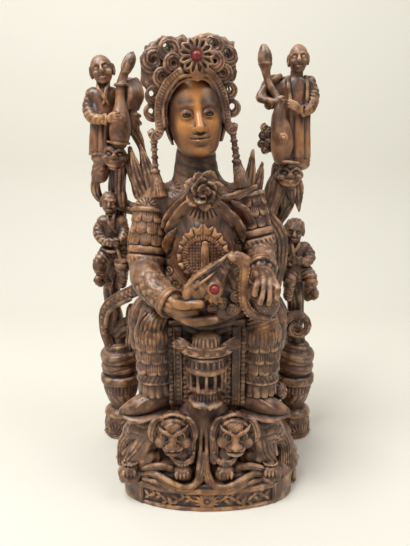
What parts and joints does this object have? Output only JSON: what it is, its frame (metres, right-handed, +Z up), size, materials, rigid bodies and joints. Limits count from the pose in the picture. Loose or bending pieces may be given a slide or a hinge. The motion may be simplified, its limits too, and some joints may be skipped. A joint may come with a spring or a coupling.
{
  "type": "buddhist deity figure",
  "caption": "Carved wooden seated deity in armour with a pierced crown, small attendants on side columns, lions under its boots and a bowed plinth.",
  "frame": {"origin": "middle of the bounding box, on the flat underside of the plinth and the column drums", "axes": "+Z up, the figure faces -Y, and +X is its left side"},
  "size_m": [0.2703, 0.1899, 0.4589],
  "materials": {
    "wood": "stained brown, rubbed to tan on the high places, satin",
    "red_glass": "polished, dusty red",
    "dark_glass": "polished, near black"
  },
  "bodies": {
    "root": {"carving": "wood", "crown_cabochon": "red_glass", "beast_cabochon": "red_glass", "eye_right": "dark_glass", "eye_left": "dark_glass", "lion_right_eye_outer": "dark_glass", "lion_right_eye_inner": "dark_glass", "lion_left_eye_outer": "dark_glass", "lion_left_eye_inner": "dark_glass"}
  },
  "joints": []
}
